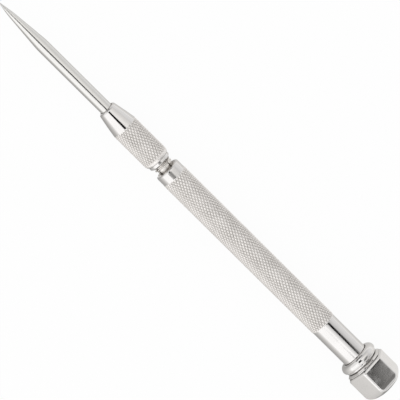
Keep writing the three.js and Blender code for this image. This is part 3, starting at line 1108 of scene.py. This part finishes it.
skyStops = [
    # (place, grey) from one side (-Y) over the top to the other
    (0.00, 0.85), (0.04, 0.85), (0.18, 0.66), (0.36, 0.66), (0.44, 0.76), (0.53, 0.98), (1.00, 1.00),
]


def makeSky():
    # a pale studio tent, brighter on one side
    scene.world = bpy.data.worlds.new("studio")
    shader = Recipe(scene.world)
    direction = shader.node("ShaderNodeTexCoord", output="Generated")
    sideways = shader.node("ShaderNodeSeparateXYZ", inputs={0: direction}, output="Y")
    tone = shader.node("ShaderNodeValToRGB", {"stops": skyStops}, {0: sideways * 0.5 + 0.5})
    around = shader.node("ShaderNodeBackground", inputs={"Color": tone, "Strength": 1.0})
    shader.finish(around, "ShaderNodeOutputWorld")


panel = {
    "radiance": 0.25,  # on top of the sky behind it
    "size": (1.20, 0.72),  # from low to high, and along the pen
    "distance": 0.62,
    "shift": -0.12,  # towards the head
    "lean": 55.0,  # degrees from straight up towards +Y
}


def makePanel():
    width, height = panel["size"]
    light = bpy.data.lights.new("softPanel", "AREA")
    light.shape = "RECTANGLE"
    light.size, light.size_y = width, height
    light.energy = panel["radiance"] * math.pi * width * height
    lamp = bpy.data.objects.new("softPanel", light)
    scene.collection.objects.link(lamp)
    lean = math.radians(panel["lean"])
    away = Vector((0, math.sin(lean), math.cos(lean)))
    lamp.location = away * panel["distance"] + Vector((panel["shift"], 0, 0))
    lamp.rotation_mode = "QUATERNION"
    lamp.rotation_quaternion = away.to_track_quat("Z", "X")
    lamp.visible_camera = False


# flags and boards stand for dark and grey things in the studio, cards for the pen's shade on the paper, and
# only reflections see them

def addStageCard(name, mesh, material):
    mesh.materials.append(material)
    card = bpy.data.objects.new(name, mesh)
    scene.collection.objects.link(card)
    card.visible_camera = False
    card.visible_diffuse = False
    card.visible_shadow = False
    card.visible_transmission = False


stripTint = (1.01, 1.0, 0.98)


def makeStrips(name, fromX, toX, height, steps):
    # a card of strips along the pen, where each step is (y, grey)
    mesh = bpy.data.meshes.new(name)
    corners = [(x, y, height) for y, grey in steps for x in (fromX, toX)]
    mesh.from_pydata(corners, [], [(i, i + 1, i + 3, i + 2) for i in range(0, len(corners) - 2, 2)])
    greys = [grey for y, grey in steps for side in range(2)]
    mesh.attributes.new("grey", "FLOAT", "POINT").data.foreach_set("value", greys)
    shader = startMaterial(name)
    shader.finishGlow(shader.times(shader.attribute("grey", "Vector"), stripTint))
    addStageCard(name, mesh, shader.owner)


flags = {
    "height": 0.30,
    "pieces": [
        # from x, to x, then (degrees from straight up towards +Y, grey)
        ("flagNose", 0.16, -0.048, [(-50, 0.76), (-30, 0.86), (-8, 1.02), (7, 1.02), (7.1, 0.0), (27, 0.0)]),
        ("flagRing", -0.048, -0.0535, [
            (-50, 0.76), (-25, 0.84), (-5, 0.86), (3, 0.80), (3.5, 0.50), (27, 0.50),
        ]),
        ("flagBand", -0.0535, -0.075, [
            (-50, 0.72), (-25, 0.82), (-5, 0.80), (3, 0.78), (3.5, 0.26), (16, 0.26), (33, 0.34), (37, 0.45),
        ]),
        ("flagRear", -0.112, -0.134, [(-31, 0.0), (-11, 0.0)]),
        ("flagCollar", -0.134, -0.142, [(-31, 0.0), (-11, 0.0)]),
        ("flagHead", -0.142, -0.165, [
            (-34, 0.40), (-13.2, 0.40), (-12.81, 0.29), (-12.59, 0.215), (-12.47, 0.19), (-12.38, 0.14),
            (-12.04, 0.11), (-4, 0.11),
        ]),
        ("flagHeadEnd", -0.165, -0.640, [(-36, 0.40), (-30, 0.24), (-14, 0.20), (-4, 0.16)]),
        ("flagHeadSpot", -0.149, -0.170, [(23, 0.0), (34, 0.0)]),
    ],
}


def makeFlags():
    # over the pen: the dark ones draw its dark lines
    for name, fromX, toX, steps in flags["pieces"]:
        placed = [(flags["height"] * math.tan(math.radians(turn)), grey) for turn, grey in steps]
        makeStrips(name, fromX, toX, flags["height"], placed)


# painted shade: grey sheets that stand for the pen's shade on the paper, seen only in reflections
shadeCards = {
    "height": 0.0012,
    "pieces": [
        # from x, to x, then (y in millimetres, grey) outwards from beside the pen
        ("cardNear", -0.073, 0.10, [(3, 0.40), (8, 0.48), (16, 0.66), (34, 0.84), (70, 0.98)]),
        ("cardNearHead", -0.125, -0.073, [(3, 0.62), (12, 0.72), (34, 0.78), (70, 0.95)]),
        ("cardFar", -0.073, 0.10, [(-3, 0.58), (-10, 0.70), (-18, 0.78), (-34, 0.86), (-70, 0.95)]),
        ("cardFarHead", -0.125, -0.073, [(-3, 0.80), (-12, 0.88), (-34, 0.90), (-70, 0.95)]),
        ("cardEnd", -0.104, -0.082, [(-6, 0.35), (6, 0.35)]),
    ],
}


def makeShadeCards():
    # on the paper beside the pen and behind its head: painted shade of the pen on the paper, grey sheets
    # seen in the reflections of its sides
    for name, fromX, toX, steps in shadeCards["pieces"]:
        makeStrips(name, fromX, toX, shadeCards["height"], [(y * mm, grey) for y, grey in steps])


boards = {
    # x, height, grey
    "pieces": [("boardTip", 0.45, 0.18, 0.05), ("boardHead", -0.45, 0.025, 0.15)],
    "halfWidth": 0.16,
}


def makeBoards():
    # standing at both ends of the pen
    side = boards["halfWidth"]
    for name, x, top, grey in boards["pieces"]:
        mesh = bpy.data.meshes.new(name)
        mesh.from_pydata([(x, -side, 0), (x, side, 0), (x, side, top), (x, -side, top)], [], [(0, 1, 2, 3)])
        shader = startMaterial(name)
        shader.finishGlow((grey, grey, grey, 1))
        addStageCard(name, mesh, shader.owner)


shot = {
    "towards": (0.216, 0.220, 0.951),
    "target": (-0.0023, -0.00037, 0.006),
    "distance": 4.8,
    "lens": 1500.0,
    "sensor": 36,
    "clip": (0.05, 20),
    "penDegrees": 135.25,  # where the tip points in the picture, from its right-hand side
}


def makeCamera():
    towards = Vector(shot["towards"]).normalized()
    tipward = Vector((1, 0, 0))
    tipward = (tipward - towards * tipward.dot(towards)).normalized()
    turn = Matrix.Rotation(-math.radians(shot["penDegrees"]), 3, towards)
    right = turn @ tipward
    up = towards.cross(right)
    camera = bpy.data.objects.new("camera", bpy.data.cameras.new("camera"))
    scene.collection.objects.link(camera)
    camera.data.sensor_width = shot["sensor"]
    camera.data.lens = shot["lens"]
    camera.data.clip_start, camera.data.clip_end = shot["clip"]
    camera.rotation_mode = "QUATERNION"
    camera.rotation_quaternion = Matrix((right, up, towards)).transposed().to_quaternion()
    camera.location = Vector(shot["target"]) + towards * shot["distance"]
    scene.camera = camera


makePaper()
makeSky()
makePanel()
makeFlags()
makeShadeCards()
makeBoards()
makeCamera()
print("studio ready")

bpy.context.view_layer.update()
